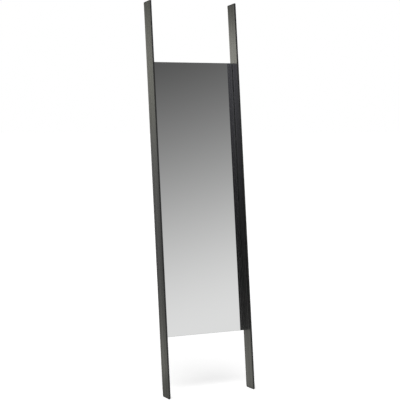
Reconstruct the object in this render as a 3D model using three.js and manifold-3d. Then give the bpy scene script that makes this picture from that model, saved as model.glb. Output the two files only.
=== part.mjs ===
// A floor mirror that leans against a wall: a frameless pane held between two long flat steel bars.
// Millimetres, +Z up, the mirror faces -Y, and the origin is on the floor under the middle of the part.
// Most pieces are made in the leaning frame of the bars: x runs across, y from the bars' front edges to
// their back edges, and z along the bars from the front corner of their lower ends.
import * as THREE from 'three';
import { mergeVertices } from 'three/addons/utils/BufferGeometryUtils.js';
import Module from 'manifold-3d';

// Overall sizes
const overallWidth = 490;
const uprightLength = 1993;
const leanAngle = THREE.MathUtils.degToRad(6.2);

// Flat steel bars
const uprightDepth = 74;
const uprightThickness = 9;
const uprightEdgeRadius = 0.8;
const uprightEndEase = 0.5;

// Mirror glass
const glassBottom = 298;
const glassHeight = 1392;
const glassThickness = 5;
const glassRecess = 55;
const glassSideGap = 1;
const glassCornerRadius = 2;
const glassArris = 0.9;

// Mounting tape between glass and board
const tapeWidth = 25;
const tapeThickness = 1;
const tapeEndInset = 45;
const tapePlaceShares = [-0.78, -0.26, 0.26, 0.78];

// Board that carries the glass
const boardThickness = 8;
const boardEndInset = 8;
const boardEdgeEase = 0.6;
const boardCornerRadius = 3;
const boardSideClearance = 1.2;

// Folded rails that tie the bars together behind the board
const railHeight = 40;
const railThickness = 3;
const railBendRadius = 1.5;
const railEndInset = 130;
const railTabClearance = 0.6;
const railTabCornerRadius = 2.5;
const railNames = ['lower', 'middle', 'upper'];

// Button head screws that hold the rails' tabs to the bars
const railScrewRadius = 2;
const railScrewHeadRadius = 3.7;
const railScrewHeadHeight = 2.2;
const railScrewFlatRadius = 1.9;
const railScrewSocketRadius = 1.45;
const railScrewSocketDepth = 1.3;
const railScrewTipEase = 0.5;
const railScrewSpread = 24;
const railScrewBiteShare = 0.5;
const tappedHoleDepthShare = 0.68;

// Countersunk screws that hold the board to the rails
const boardScrewRadius = 1.75;
const boardScrewHeadRadius = 3.5;
const boardScrewHeadRim = 0.3;
const boardScrewTipLength = 2;
const boardScrewSlotWidth = 0.9;
const boardScrewSlotLength = 3.6;
const boardScrewSlotDepth = 1.2;
const boardScrewBiteShare = 0.68;
const boardScrewInset = 60;

// Pads under the bars, held by two pegs each
const padThickness = 5;
const padInset = 0.6;
const padCornerRadius = 1.5;
const padEase = 0.4;
const pegRadius = 1.7;
const pegLength = 8;
const pegPlaceShares = [0.25, 0.75];

// Soft caps on the bars' upper ends, with a lip behind that meets the wall
const wallPadCrown = 1.5;
const wallPadHeight = 14;
const wallPadThickness = 1;
const wallPadInset = 0.8;
const wallPadEase = 0.3;

// Fits and fineness
const seatGap = 0.3;
const cutOverrun = 5;
const weldDistance = 1e-4;
const roundSegments = 16;
const bendSegments = 6;
const cornerSegments = 3;
const domeSegments = 4;
const easeSegments = 2;
const socketSides = 6;

// Places that follow from the sizes above
const innerHalf = overallWidth / 2 - uprightThickness;
const glassHalf = innerHalf - glassSideGap;
const glassBack = glassRecess + glassThickness;
const tapeFront = glassBack + seatGap;
const boardFront = tapeFront + tapeThickness + seatGap;
const boardBack = boardFront + boardThickness;
const railFront = boardBack + seatGap;
const railBack = railFront + railThickness;
const railHalf = innerHalf - seatGap;
const tabInnerFace = railHalf - railThickness;
const tabFront = glassBack + railTabClearance;
const bendOuterRadius = railBendRadius + railThickness;
const boardHalf = tabInnerFace - seatGap - railScrewHeadHeight - boardSideClearance;
const boardHeight = glassHeight - 2 * boardEndInset;
const railScrewDepthPlace = (tabFront + railBack - bendOuterRadius) / 2;
const railScrewLength = railThickness + 2 * seatGap + railScrewBiteShare * uprightThickness;
const tappedHoleDepth = tappedHoleDepthShare * uprightThickness;
const boardScrewLength = railThickness + seatGap + boardScrewBiteShare * boardThickness;
const footDepth = uprightDepth / Math.cos(leanAngle);
const wallPadTop = uprightLength + seatGap + wallPadCrown;
const wallPlane = (uprightDepth + seatGap + wallPadThickness) * Math.cos(leanAngle)
  + wallPadTop * Math.sin(leanAngle);

const railCentres = [
  glassBottom + railEndInset,
  glassBottom + glassHeight / 2,
  glassBottom + glassHeight - railEndInset,
];
const sides = [
  { name: 'left', sign: -1 },
  { name: 'right', sign: 1 },
];
const boardScrewPlaces = [
  { name: 'left', x: boardScrewInset - boardHalf },
  { name: 'centre', x: 0 },
  { name: 'right', x: boardHalf - boardScrewInset },
];

const materials = {
  upright: { color: 0x33332f, roughness: 0.4, metalness: 0.0 },
  glass: { color: 0xc9cdcc, roughness: 0.02, metalness: 1.0 },
  board: { color: 0x1f1f20, roughness: 0.7, metalness: 0.0 },
  tape: { color: 0x8e8e8a, roughness: 0.9, metalness: 0.0 },
  rail: { color: 0x2b2b2c, roughness: 0.6, metalness: 0.5 },
  screw: { color: 0x8c8f92, roughness: 0.35, metalness: 0.9 },
  pad: { color: 0x1a1a1a, roughness: 0.85, metalness: 0.0 },
};

const wasm = await Module();
wasm.setup();

/** Turns a closed three.js geometry into a solid that can be cut and joined. */
function solidOf(geometry, matrix = new THREE.Matrix4()) {
  const bare = geometry.clone();
  bare.deleteAttribute('normal');
  bare.deleteAttribute('uv');
  bare.applyMatrix4(matrix);
  const welded = mergeVertices(bare, weldDistance);
  return new wasm.Manifold(new wasm.Mesh({
    numProp: 3,
    vertProperties: Float32Array.from(welded.attributes.position.array),
    triVerts: Uint32Array.from(welded.index.array),
  }));
}

/** Turns a solid back into a three.js geometry with flat faces. */
function geometryOf(solid) {
  const mesh = solid.getMesh();
  const geometry = new THREE.BufferGeometry();
  geometry.setAttribute('position', new THREE.BufferAttribute(mesh.vertProperties, 3));
  geometry.setIndex(new THREE.BufferAttribute(mesh.triVerts, 1));
  geometry.computeVertexNormals();
  return geometry;
}

/** Names a piece and gives it a material of its own. */
function piece(name, geometry, finish) {
  const mesh = new THREE.Mesh(geometry, new THREE.MeshStandardMaterial(materials[finish]));
  mesh.name = name;
  return mesh;
}

/** Places a shape whose axis is +Y at a point, with that axis along a direction. */
function aimed(direction, point) {
  const turn = new THREE.Quaternion().setFromUnitVectors(new THREE.Vector3(0, 1, 0), direction);
  return new THREE.Matrix4().compose(point, turn, new THREE.Vector3(1, 1, 1));
}

/** A rectangle around the origin with round corners. */
function roundedRectangle(width, height, radius) {
  const right = width / 2;
  const top = height / 2;
  const shape = new THREE.Shape();
  shape.moveTo(radius - right, -top);
  shape.absarc(right - radius, radius - top, radius, -Math.PI / 2, 0, false);
  shape.absarc(right - radius, top - radius, radius, 0, Math.PI / 2, false);
  shape.absarc(radius - right, top - radius, radius, Math.PI / 2, Math.PI, false);
  shape.absarc(radius - right, radius - top, radius, Math.PI, 1.5 * Math.PI, false);
  shape.closePath();
  return shape;
}

/** A shape pushed along z from 0 to a length, with its two ends eased. */
function easedExtrusion(shape, length, ease) {
  const geometry = new THREE.ExtrudeGeometry(shape, {
    depth: length - 2 * ease,
    curveSegments: cornerSegments,
    bevelThickness: ease,
    bevelSize: ease,
    bevelOffset: -ease,
    bevelSegments: easeSegments,
  });
  return geometry.translate(0, 0, ease);
}

/** A flat plate that stands in the x-z plane, front face at y = 0 and lower edge at z = 0. */
function plate(width, height, thickness, cornerRadius, ease) {
  const geometry = easedExtrusion(roundedRectangle(width, height, cornerRadius), thickness, ease);
  return geometry.rotateX(Math.PI / 2).translate(0, thickness, height / 2);
}

/** A body turned around +Y from its half profile, listed from the lower end of the axis upwards. */
function revolved(profile) {
  const points = profile.map(([radius, y]) => new THREE.Vector2(radius, y));
  return new THREE.LatheGeometry(points, roundSegments);
}

/** A drill bit's shape: mouth at y = 0, pointing down the axis, with a cone at the bottom of the hole. */
function drillBit(radius, depth) {
  return revolved([
    [0, -depth - radius / 2],
    [radius, -depth],
    [radius, cutOverrun],
    [0, cutOverrun],
  ]);
}

/** Heights at which each rail is screwed to the bars. */
function tabScrewHeights(centre) {
  return [
    { name: 'low', z: centre - railScrewSpread / 2 },
    { name: 'high', z: centre + railScrewSpread / 2 },
  ];
}

/** One flat bar: square top, lower end cut level with the floor, blind holes for screws and pegs. */
function makeUpright(side) {
  const profile = roundedRectangle(uprightThickness, uprightDepth, uprightEdgeRadius);
  const bar = easedExtrusion(profile, uprightLength + uprightDepth, uprightEndEase);
  bar.translate(0, uprightDepth / 2, -uprightDepth);
  let solid = solidOf(bar);

  const sawSize = 4 * uprightDepth;
  const levelSaw = new THREE.BoxGeometry(sawSize, sawSize, sawSize);
  levelSaw.translate(0, uprightDepth / 2, -sawSize / 2);
  solid = solid.subtract(solidOf(levelSaw, new THREE.Matrix4().makeRotationX(leanAngle)));

  const inward = new THREE.Vector3(-side.sign, 0, 0);
  const innerFace = -side.sign * uprightThickness / 2;
  const tapDrill = drillBit(railScrewRadius + seatGap, tappedHoleDepth);
  for (const centre of railCentres) {
    for (const height of tabScrewHeights(centre)) {
      const mouth = new THREE.Vector3(innerFace, railScrewDepthPlace, height.z);
      solid = solid.subtract(solidOf(tapDrill, aimed(inward, mouth)));
    }
  }

  const up = new THREE.Vector3(0, Math.sin(leanAngle), -Math.cos(leanAngle));
  const pegDrill = drillBit(pegRadius + seatGap, pegLength + seatGap);
  for (const share of pegPlaceShares) {
    const along = share * uprightDepth;
    const mouth = new THREE.Vector3(0, along, along * Math.tan(leanAngle));
    solid = solid.subtract(solidOf(pegDrill, aimed(up, mouth)));
  }
  const mesh = piece(`upright_${side.name}`, geometryOf(solid), 'upright');
  mesh.position.x = side.sign * (overallWidth - uprightThickness) / 2;
  return mesh;
}

/** The pane, with its sharp corners ground off all round. */
function makeGlass() {
  const pane = plate(2 * glassHalf, glassHeight, glassThickness, glassCornerRadius, glassArris);
  const mesh = piece('mirror_glass', pane, 'glass');
  mesh.position.set(0, glassRecess, glassBottom);
  return mesh;
}

/** Upright strips of mounting tape between glass and board. */
function makeTapes() {
  const tapeLength = boardHeight - 2 * tapeEndInset;
  return tapePlaceShares.map((share, index) => {
    const strip = new THREE.BoxGeometry(tapeWidth, tapeThickness, tapeLength);
    const mesh = piece(`tape_strip_${index + 1}`, strip, 'tape');
    const x = share * (boardHalf - tapeWidth / 2);
    mesh.position.set(x, tapeFront + tapeThickness / 2, glassBottom + glassHeight / 2);
    return mesh;
  });
}

/** The board, with a blind pilot hole for each of its screws. */
function makeBoard() {
  const base = glassBottom + boardEndInset;
  const blank = plate(2 * boardHalf, boardHeight, boardThickness, boardCornerRadius, boardEdgeEase);
  let solid = solidOf(blank);
  const pilot = drillBit(boardScrewRadius + seatGap, boardScrewBiteShare * boardThickness);
  for (const centre of railCentres) {
    for (const place of boardScrewPlaces) {
      const mouth = new THREE.Vector3(place.x, boardThickness, centre - base);
      solid = solid.subtract(solidOf(pilot, aimed(new THREE.Vector3(0, 1, 0), mouth)));
    }
  }
  const mesh = piece('backing_board', geometryOf(solid), 'board');
  mesh.position.set(0, boardFront, base);
  return mesh;
}

/** The folded sheet seen from above: a long web with a tab bent forward at each end. */
function railProfile() {
  const bendX = railHalf - bendOuterRadius;
  const bendY = railBack - bendOuterRadius;
  const quarter = Math.PI / 2;
  const shape = new THREE.Shape();
  shape.moveTo(-railHalf, tabFront);
  shape.lineTo(-railHalf, bendY);
  shape.absarc(-bendX, bendY, bendOuterRadius, Math.PI, quarter, true);
  shape.lineTo(bendX, railBack);
  shape.absarc(bendX, bendY, bendOuterRadius, quarter, 0, true);
  shape.lineTo(railHalf, tabFront);
  shape.lineTo(tabInnerFace, tabFront);
  shape.lineTo(tabInnerFace, bendY);
  shape.absarc(bendX, bendY, railBendRadius, 0, quarter, false);
  shape.lineTo(-bendX, railFront);
  shape.absarc(-bendX, bendY, railBendRadius, quarter, Math.PI, false);
  shape.lineTo(-tabInnerFace, tabFront);
  shape.closePath();
  return shape;
}

/** The rail seen from the side: the tabs' two free corners are round. */
function railSideProfile() {
  const back = railBack + cutOverrun;
  const shape = new THREE.Shape();
  const low = railTabCornerRadius - railHeight / 2;
  const high = railHeight / 2 - railTabCornerRadius;
  const corner = tabFront + railTabCornerRadius;
  shape.moveTo(back, -railHeight / 2);
  shape.lineTo(back, railHeight / 2);
  shape.lineTo(corner, railHeight / 2);
  shape.absarc(corner, high, railTabCornerRadius, Math.PI / 2, Math.PI, false);
  shape.lineTo(tabFront, low);
  shape.absarc(corner, low, railTabCornerRadius, Math.PI, 1.5 * Math.PI, false);
  shape.closePath();
  return shape;
}

/** The hole that a countersunk screw sinks into: its mouth at y = 0, pointing down the axis. */
function countersink() {
  const holeRadius = boardScrewRadius + seatGap;
  const mouthRadius = boardScrewHeadRadius + seatGap;
  return revolved([
    [0, -railThickness - cutOverrun],
    [holeRadius, -railThickness - cutOverrun],
    [holeRadius, holeRadius - mouthRadius - boardScrewHeadRim],
    [mouthRadius, -boardScrewHeadRim],
    [mouthRadius, cutOverrun],
    [0, cutOverrun],
  ]);
}

/** A rail of folded sheet, with countersunk holes in its web and plain holes in its tabs. */
function makeRail(name, centre) {
  const folded = new THREE.ExtrudeGeometry(railProfile(), {
    depth: railHeight,
    curveSegments: bendSegments,
    bevelEnabled: false,
  });
  folded.translate(0, 0, -railHeight / 2);
  const sideCut = new THREE.ExtrudeGeometry(railSideProfile(), {
    depth: 2 * (railHalf + cutOverrun),
    curveSegments: cornerSegments,
    bevelEnabled: false,
  });
  // The side profile's own x and y become the part's y and z.
  const turn = new THREE.Matrix4().makeBasis(
    new THREE.Vector3(0, 1, 0),
    new THREE.Vector3(0, 0, 1),
    new THREE.Vector3(1, 0, 0),
  );
  sideCut.applyMatrix4(turn).translate(-railHalf - cutOverrun, 0, 0);
  let solid = solidOf(folded).intersect(solidOf(sideCut));

  const sink = countersink();
  for (const place of boardScrewPlaces) {
    const mouth = new THREE.Vector3(place.x, railBack, 0);
    solid = solid.subtract(solidOf(sink, aimed(new THREE.Vector3(0, 1, 0), mouth)));
  }
  const tabDrill = drillBit(railScrewRadius + seatGap, railThickness + cutOverrun);
  for (const side of sides) {
    for (const height of tabScrewHeights(0)) {
      const mouth = new THREE.Vector3(side.sign * tabInnerFace, railScrewDepthPlace, height.z);
      solid = solid.subtract(solidOf(tabDrill, aimed(new THREE.Vector3(-side.sign, 0, 0), mouth)));
    }
  }
  const mesh = piece(`cross_rail_${name}`, geometryOf(solid), 'rail');
  mesh.position.z = centre;
  return mesh;
}

/** A button head screw: seat of the head at y = 0, shank down the axis, six-sided socket in the dome. */
function buttonScrew() {
  const profile = [
    [0, -railScrewLength],
    [railScrewRadius - railScrewTipEase, -railScrewLength],
    [railScrewRadius, railScrewTipEase - railScrewLength],
    [railScrewRadius, 0],
    [railScrewHeadRadius, 0],
  ];
  for (let step = 1; step <= domeSegments; step += 1) {
    const angle = (step / domeSegments) * (Math.PI / 2);
    const sweep = railScrewHeadRadius - railScrewFlatRadius;
    profile.push([
      railScrewFlatRadius + sweep * Math.cos(angle),
      railScrewHeadHeight * Math.sin(angle),
    ]);
  }
  profile.push([0, railScrewHeadHeight]);
  const socketLength = railScrewSocketDepth + cutOverrun;
  const socket = new THREE.CylinderGeometry(
    railScrewSocketRadius, railScrewSocketRadius, socketLength, socketSides,
  );
  socket.translate(0, railScrewHeadHeight - railScrewSocketDepth + socketLength / 2, 0);
  return geometryOf(solidOf(revolved(profile)).subtract(solidOf(socket)));
}

/** A countersunk screw: top of the head at y = 0, point down the axis, cross slot in the head. */
function countersunkScrew() {
  const coneHeight = boardScrewHeadRadius - boardScrewRadius;
  const body = revolved([
    [0, -boardScrewLength],
    [boardScrewRadius, boardScrewTipLength - boardScrewLength],
    [boardScrewRadius, -boardScrewHeadRim - coneHeight],
    [boardScrewHeadRadius, -boardScrewHeadRim],
    [boardScrewHeadRadius, 0],
    [0, 0],
  ]);
  const slotHeight = boardScrewSlotDepth + cutOverrun;
  const slot = new THREE.BoxGeometry(boardScrewSlotLength, slotHeight, boardScrewSlotWidth);
  slot.translate(0, slotHeight / 2 - boardScrewSlotDepth, 0);
  const crossed = solidOf(slot).add(solidOf(slot, new THREE.Matrix4().makeRotationY(Math.PI / 2)));
  return geometryOf(solidOf(body).subtract(crossed));
}

/** The screws through every rail's tabs into the bars. */
function makeRailScrews() {
  const geometry = buttonScrew();
  const screws = [];
  railCentres.forEach((centre, row) => {
    for (const side of sides) {
      for (const height of tabScrewHeights(centre)) {
        const screw = piece(`rail_screw_${railNames[row]}_${side.name}_${height.name}`, geometry, 'screw');
        const x = side.sign * (tabInnerFace - seatGap);
        screw.position.set(x, railScrewDepthPlace, height.z);
        screw.rotation.z = side.sign * Math.PI / 2;
        screws.push(screw);
      }
    }
  });
  return screws;
}

/** The screws through every rail's web into the board. */
function makeBoardScrews() {
  const geometry = countersunkScrew();
  const screws = [];
  railCentres.forEach((centre, row) => {
    for (const place of boardScrewPlaces) {
      const screw = piece(`board_screw_${railNames[row]}_${place.name}`, geometry, 'screw');
      screw.position.set(place.x, railBack, centre);
      screws.push(screw);
    }
  });
  return screws;
}

/** A level pad under a bar's foot, with two pegs that stand in the bar. */
function makeFloorPad(side) {
  const width = uprightThickness - 2 * padInset;
  const depth = footDepth - 2 * padInset;
  const slab = easedExtrusion(roundedRectangle(width, depth, padCornerRadius), padThickness, padEase);
  let solid = solidOf(slab.translate(0, footDepth / 2, 0));
  const pegHeight = padThickness / 2 + pegLength;
  for (const share of pegPlaceShares) {
    const peg = new THREE.CylinderGeometry(pegRadius, pegRadius, pegHeight, roundSegments);
    peg.rotateX(Math.PI / 2);
    peg.translate(0, share * footDepth, padThickness / 2 + pegHeight / 2);
    solid = solid.add(solidOf(peg));
  }
  const mesh = piece(`floor_pad_${side.name}`, geometryOf(solid), 'pad');
  mesh.position.x = side.sign * (overallWidth - uprightThickness) / 2;
  return mesh;
}

/** A cap over a bar's upper end. The outer face of its lip stands upright against the wall. */
function makeWallPad(side) {
  const root = uprightDepth + seatGap;
  const lipLow = wallPadTop - wallPadHeight;
  const lipDepth = wallPadThickness + wallPadHeight * Math.tan(leanAngle);
  const shape = new THREE.Shape();
  shape.moveTo(root, lipLow);
  shape.lineTo(root + lipDepth, lipLow);
  shape.lineTo(root + wallPadThickness, wallPadTop);
  shape.lineTo(wallPadInset, wallPadTop);
  shape.lineTo(wallPadInset, uprightLength + seatGap);
  shape.lineTo(root, uprightLength + seatGap);
  shape.closePath();
  const width = uprightThickness - 2 * wallPadInset;
  const cap = easedExtrusion(shape, width, wallPadEase);
  const turn = new THREE.Matrix4().makeBasis(
    new THREE.Vector3(0, 1, 0),
    new THREE.Vector3(0, 0, 1),
    new THREE.Vector3(1, 0, 0),
  );
  cap.applyMatrix4(turn).translate(-width / 2, 0, 0);
  const mesh = piece(`wall_pad_${side.name}`, cap, 'pad');
  mesh.position.x = side.sign * (overallWidth - uprightThickness) / 2;
  return mesh;
}

/** Everything that leans: the bars and all they carry. */
function makeLeaningFrame() {
  const frame = new THREE.Group();
  frame.add(...sides.map(makeUpright));
  frame.add(makeGlass());
  frame.add(...makeTapes());
  frame.add(makeBoard());
  frame.add(...railCentres.map((centre, row) => makeRail(railNames[row], centre)));
  frame.add(...makeRailScrews());
  frame.add(...makeBoardScrews());
  frame.add(...sides.map(makeWallPad));
  frame.position.set(0, 0, padThickness + seatGap);
  frame.rotation.x = -leanAngle;
  return frame;
}

const leaningMirror = new THREE.Group();
leaningMirror.add(makeLeaningFrame());
leaningMirror.add(...sides.map(makeFloorPad));
for (const child of leaningMirror.children) {
  child.position.y -= wallPlane / 2;
}

export default leaningMirror;
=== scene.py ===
"""Dresses a leaning floor mirror: two long flat bars, a frameless pane, and what holds it from behind.

All lengths are metres. Most pieces are worked out in the bars' own axes: x runs across, y from the
bars' front edges to their back edges, and z along the bars from the front corner of their lower ends.
LeaningAxes carries such points into the part's frame.
"""

from __future__ import annotations

import logging
import math
from collections.abc import Callable
from dataclasses import dataclass
from enum import Enum
from functools import reduce

import bpy
import numpy as np
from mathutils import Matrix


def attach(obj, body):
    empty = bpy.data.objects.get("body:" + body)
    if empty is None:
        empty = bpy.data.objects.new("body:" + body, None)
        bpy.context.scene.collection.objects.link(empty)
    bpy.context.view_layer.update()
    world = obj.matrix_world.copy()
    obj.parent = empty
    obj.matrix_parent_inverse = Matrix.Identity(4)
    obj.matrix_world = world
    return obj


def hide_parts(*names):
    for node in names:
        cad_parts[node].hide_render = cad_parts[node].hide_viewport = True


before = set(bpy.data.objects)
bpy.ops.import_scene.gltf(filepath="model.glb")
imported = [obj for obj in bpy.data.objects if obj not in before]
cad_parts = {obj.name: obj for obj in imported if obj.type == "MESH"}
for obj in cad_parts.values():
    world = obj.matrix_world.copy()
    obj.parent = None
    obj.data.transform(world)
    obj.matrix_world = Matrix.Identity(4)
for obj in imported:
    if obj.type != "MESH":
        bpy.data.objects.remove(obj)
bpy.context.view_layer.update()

log = logging.getLogger("leaning_mirror")

Floats = np.ndarray
Socket = bpy.types.NodeSocket
Sockets = bpy.types.NodeOutputs
Material = bpy.types.Material
Piece = bpy.types.Object
Pair = tuple[float, float]
Triple = tuple[float, float, float]
Colour = tuple[float, float, float, float]
Inputs = dict[str | int, object]
BODY = "root"
MM = 0.001


def colour(red: float, green: float, blue: float) -> Colour:
    """A linear colour with full cover."""
    return (red, green, blue, 1.0)


WHITE = colour(1.0, 1.0, 1.0)


class Named(Enum):
    """Options whose names stand in node names."""

    @property
    def word(self) -> str:
        """The option's name as the nodes have it."""
        return self.name.lower()


class Side(Named):
    """The two bars, with the sign of their x."""

    LEFT = -1
    RIGHT = 1


class Tier(Named):
    """The three rails, with the place of each along the bars."""

    LOWER = 0.428
    MIDDLE = 0.994
    UPPER = 1.560


class Ramp(Enum):
    """How a value runs from one end of its range to the other."""

    EVEN = "LINEAR"
    SOFT = "SMOOTHSTEP"


@dataclass(frozen=True)
class LeaningAxes:
    """The bars' own axes and how they stand in the part's frame."""

    lean: float = math.radians(6.2)
    lift: float = 0.0053
    reach: float = 2 * 0.145148

    def turn(self) -> Floats:
        """The matrix that turns the bars' axes back by the lean, about x."""
        c, s = math.cos(self.lean), math.sin(self.lean)
        return np.array([[1.0, 0.0, 0.0], [0.0, c, s], [0.0, -s, c]])

    def shift(self) -> Floats:
        """Where the bars' own origin lies in the part's frame."""
        return np.array([0.0, -self.reach / 2, self.lift])

    def placed(self, points: Floats) -> Floats:
        """Carries points, an array whose last axis holds x, y and z, into the part's frame."""
        return points @ self.turn().T + self.shift()


AXES = LeaningAxes()


# Meshes


def linked(name: str, data: bpy.types.ID) -> Piece:
    """Makes an object of a mesh, lamp or camera, at the origin, and links it to the scene.

    Args:
        name: the object's name.
        data: the mesh, lamp or camera.

    Returns:
        The object.
    """
    made = bpy.data.objects.new(name, data)
    bpy.context.scene.collection.objects.link(made)
    return made


@dataclass
class Surface:
    """A closed surface of rings: each ring is joined to the next, and the two end rings are filled."""

    rings: Floats
    crease: float = math.radians(32)

    def faces(self) -> list[list[int]]:
        """Quads between neighbouring rings, and one polygon over each end.

        A point has the number ring * points per ring + place, so a quad takes the place and the next
        one, wrapped round, on a ring and on the ring after it.

        Returns:
            The point numbers of each face.
        """
        count, around = self.rings.shape[:2]
        ring, place = np.meshgrid(np.arange(count - 1), np.arange(around), indexing="ij")
        here, after = ring * around + place, ring * around + (place + 1) % around
        quads = np.stack([here, after, after + around, here + around], axis=-1)
        first = np.arange(around)
        last = first + (count - 1) * around
        return [*quads.reshape(-1, 4).tolist(), first[::-1].tolist(), last.tolist()]

    def follow(self) -> Floats:
        """A map that follows the surface.

        Returns:
            For each point the share of a turn and the length along the profile in metres.
        """
        count, around = self.rings.shape[:2]
        steps = np.linalg.norm(np.diff(self.rings[:, 0], axis=0), axis=-1)
        along = np.concatenate([[0.0], np.cumsum(steps)])
        return np.stack([np.tile(np.arange(around) / around, count), np.repeat(along, around)], axis=-1)

    def piece(self, name: str) -> Piece:
        """Makes the object, smooth apart from edges sharper than the crease.

        Args:
            name: the piece's name.

        Returns:
            The object.
        """
        mesh = bpy.data.meshes.new(name)
        mesh.from_pydata(self.rings.reshape(-1, 3), [], self.faces())
        corners = np.empty(len(mesh.loops), dtype=np.int32)
        mesh.loops.foreach_get("vertex_index", corners)
        layer = mesh.uv_layers.new(name="follow")
        layer.data.foreach_set("uv", self.follow()[corners].astype(np.float32).ravel())
        mesh.shade_smooth()
        mesh.set_sharp_from_angle(angle=self.crease)
        mesh.validate()
        mesh.update()
        return linked(name, mesh)


def united(main: Piece, others: list[Piece]) -> None:
    """Joins overlapping closed shells into one closed shell.

    Args:
        main: the object that stays and gets the new mesh.
        others: objects whose shells go into it, and which are removed.
    """
    for other in others:
        joint = main.modifiers.new("join", "BOOLEAN")
        joint.operation = "UNION"
        joint.solver = "EXACT"
        joint.object = other
    graph = bpy.context.evaluated_depsgraph_get()
    mesh = bpy.data.meshes.new_from_object(main.evaluated_get(graph))
    main.modifiers.clear()
    main.data = mesh
    for other in others:
        bpy.data.objects.remove(other)


def turns(count: int) -> Floats:
    """The angles of so many even places round an axis."""
    return np.arange(count) * 2 * np.pi / count


def quarter(count: int) -> Floats:
    """So many angles from 0 to a quarter turn, both ends taken in."""
    return np.linspace(0.0, math.pi / 2, count)


def helix(height: Floats, pitch: float, around: int) -> Floats:
    """A triangle wave: 1 where height over pitch plus the share of a turn is whole, 0 half way on."""
    phase = height[:, None] / pitch + np.arange(around) / around
    return np.abs(2.0 * (phase % 1.0) - 1.0)


def revolved(radii: Floats, heights: Floats) -> Floats:
    """Rings about +y: x is radius times cosine, z is minus radius times sine, y is the height."""
    angle, tall = turns(radii.shape[1]), np.broadcast_to(heights[:, None], radii.shape)
    return np.stack([radii * np.cos(angle), tall, -radii * np.sin(angle)], axis=-1)


def aimed(points: Floats, axis: Triple, seat: Triple) -> Floats:
    """Turns a piece's +y to a unit axis and its x level and square to that, and seats its origin."""
    x = np.cross(axis, (0.0, 0.0, 1.0))
    return points @ np.stack([x, axis, np.cross(x, axis)]) + np.array(seat)


# Shader nodes


@dataclass
class Graph:
    """A short way to write shader nodes into the tree of a material, world or group."""

    tree: bpy.types.NodeTree

    def node(self, kind: str, inputs: Inputs | None = None, **settings: object) -> bpy.types.Node:
        """Adds a node, sets its properties, and then feeds its inputs.

        Args:
            kind: the node's type name without the ShaderNode prefix.
            inputs: what goes into each input, by the input's name or number.
            settings: the node's own properties.

        Returns:
            The new node.
        """
        made = self.tree.nodes.new("ShaderNode" + kind)
        for key, value in settings.items():
            setattr(made, key, value)
        for key, value in (inputs or {}).items():
            self.feed(made.inputs[key], value)
        return made

    def feed(self, socket: Socket, value: object) -> None:
        """Links an output to a socket, or sets the socket's own value.

        Args:
            socket: the input.
            value: an output socket, a number, or a colour or vector.
        """
        if isinstance(value, Socket):
            self.tree.links.new(value, socket)
        else:
            socket.default_value = value

    def math(self, operation: str, *values: object) -> Socket:
        """One step of arithmetic on one, two or three values."""
        return self.node("Math", dict(enumerate(values)), operation=operation).outputs[0]

    def times(self, *values: object) -> Socket:
        """The product of some values."""
        return reduce(lambda first, second: self.math("MULTIPLY", first, second), values)

    def bell(self, height: Socket, half: float, power: float, top: float = 1.0) -> Socket:
        """A bell's value at a height: its top over one plus a power of the height over its half."""
        spread = self.math("POWER", self.math("DIVIDE", height, half), power)
        return self.math("DIVIDE", top, self.math("ADD", 1.0, spread))

    def mapped(self, value: Socket, ends: Pair, results: Pair = (0.0, 1.0),
               ramp: Ramp = Ramp.EVEN) -> Socket:
        """Carries a value from one range to another, clamped at both ends."""
        inputs = dict(enumerate((value, *ends, *results)))
        return self.node("MapRange", inputs, interpolation_type=ramp.value).outputs[0]

    def blended(self, share: object, first: object, second: object) -> Socket:
        """Mixes two colours, where the share is how much of the second one shows."""
        return self.node("Mix", {0: share, 6: first, 7: second}, data_type="RGBA").outputs[2]

    def mixed(self, share: object, first: object, second: object) -> Socket:
        """Mixes two numbers, where the share is how much of the second one counts."""
        return self.node("Mix", {0: share, 2: first, 3: second}, data_type="FLOAT").outputs[0]

    def split(self, vector: Socket) -> tuple[Socket, ...]:
        """The x, y and z of a vector."""
        return tuple(self.node("SeparateXYZ", {0: vector}).outputs)

    def length(self, vector: Socket) -> Socket:
        """The length of a vector."""
        return self.node("VectorMath", {0: vector}, operation="LENGTH").outputs["Value"]

    def scaled(self, vector: object, factor: Socket) -> Socket:
        """A vector times a number."""
        return self.node("VectorMath", {0: vector, "Scale": factor}, operation="SCALE").outputs[0]

    def stretched(self, vector: Socket, scale: Triple) -> Socket:
        """Coordinates times a scale along each axis."""
        return self.node("Mapping", {"Vector": vector, "Scale": scale}).outputs[0]

    def place(self) -> Socket:
        """Object coordinates, in metres."""
        return self.node("TexCoord").outputs["Object"]

    def along_bars(self) -> Socket:
        """Object coordinates turned forward by the lean, so that z runs along the bars."""
        inputs = {"Vector": self.place(), "Rotation": (AXES.lean, 0.0, 0.0),
                  "Location": tuple(-AXES.turn().T @ AXES.shift())}
        return self.node("Mapping", inputs).outputs[0]

    def noise(self, vector: Socket, scale: object, detail: float, roughness: float) -> Socket:
        """A cloud of values about one half, with so many clouds a metre and so many finer layers."""
        inputs = {"Vector": vector, "Scale": scale, "Detail": detail, "Roughness": roughness}
        return self.node("TexNoise", inputs).outputs["Fac"]

    def bumped(self, height: Socket, distance: float) -> Socket:
        """A normal that follows a height, of which 1 stands for a distance in metres."""
        return self.node("Bump", {"Distance": distance, "Height": height}).outputs[0]

    def effect(self, effect: Effect, vector: Socket, **numbers: float) -> Sockets:
        """Places a shared group, with underscores for spaces in the names of its numbers."""
        inputs = {"Vector": vector, **{key.replace("_", " "): value for key, value in numbers.items()}}
        return self.node("Group", inputs, node_tree=bpy.data.node_groups[effect.value]).outputs

    def shiny(self) -> Socket:
        """1 for a ray that comes off metal, lacquer or glass, and 0 for any other."""
        path = self.node("LightPath").outputs
        return self.math("MAXIMUM", path["Is Glossy Ray"], path["Is Transmission Ray"])


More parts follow.
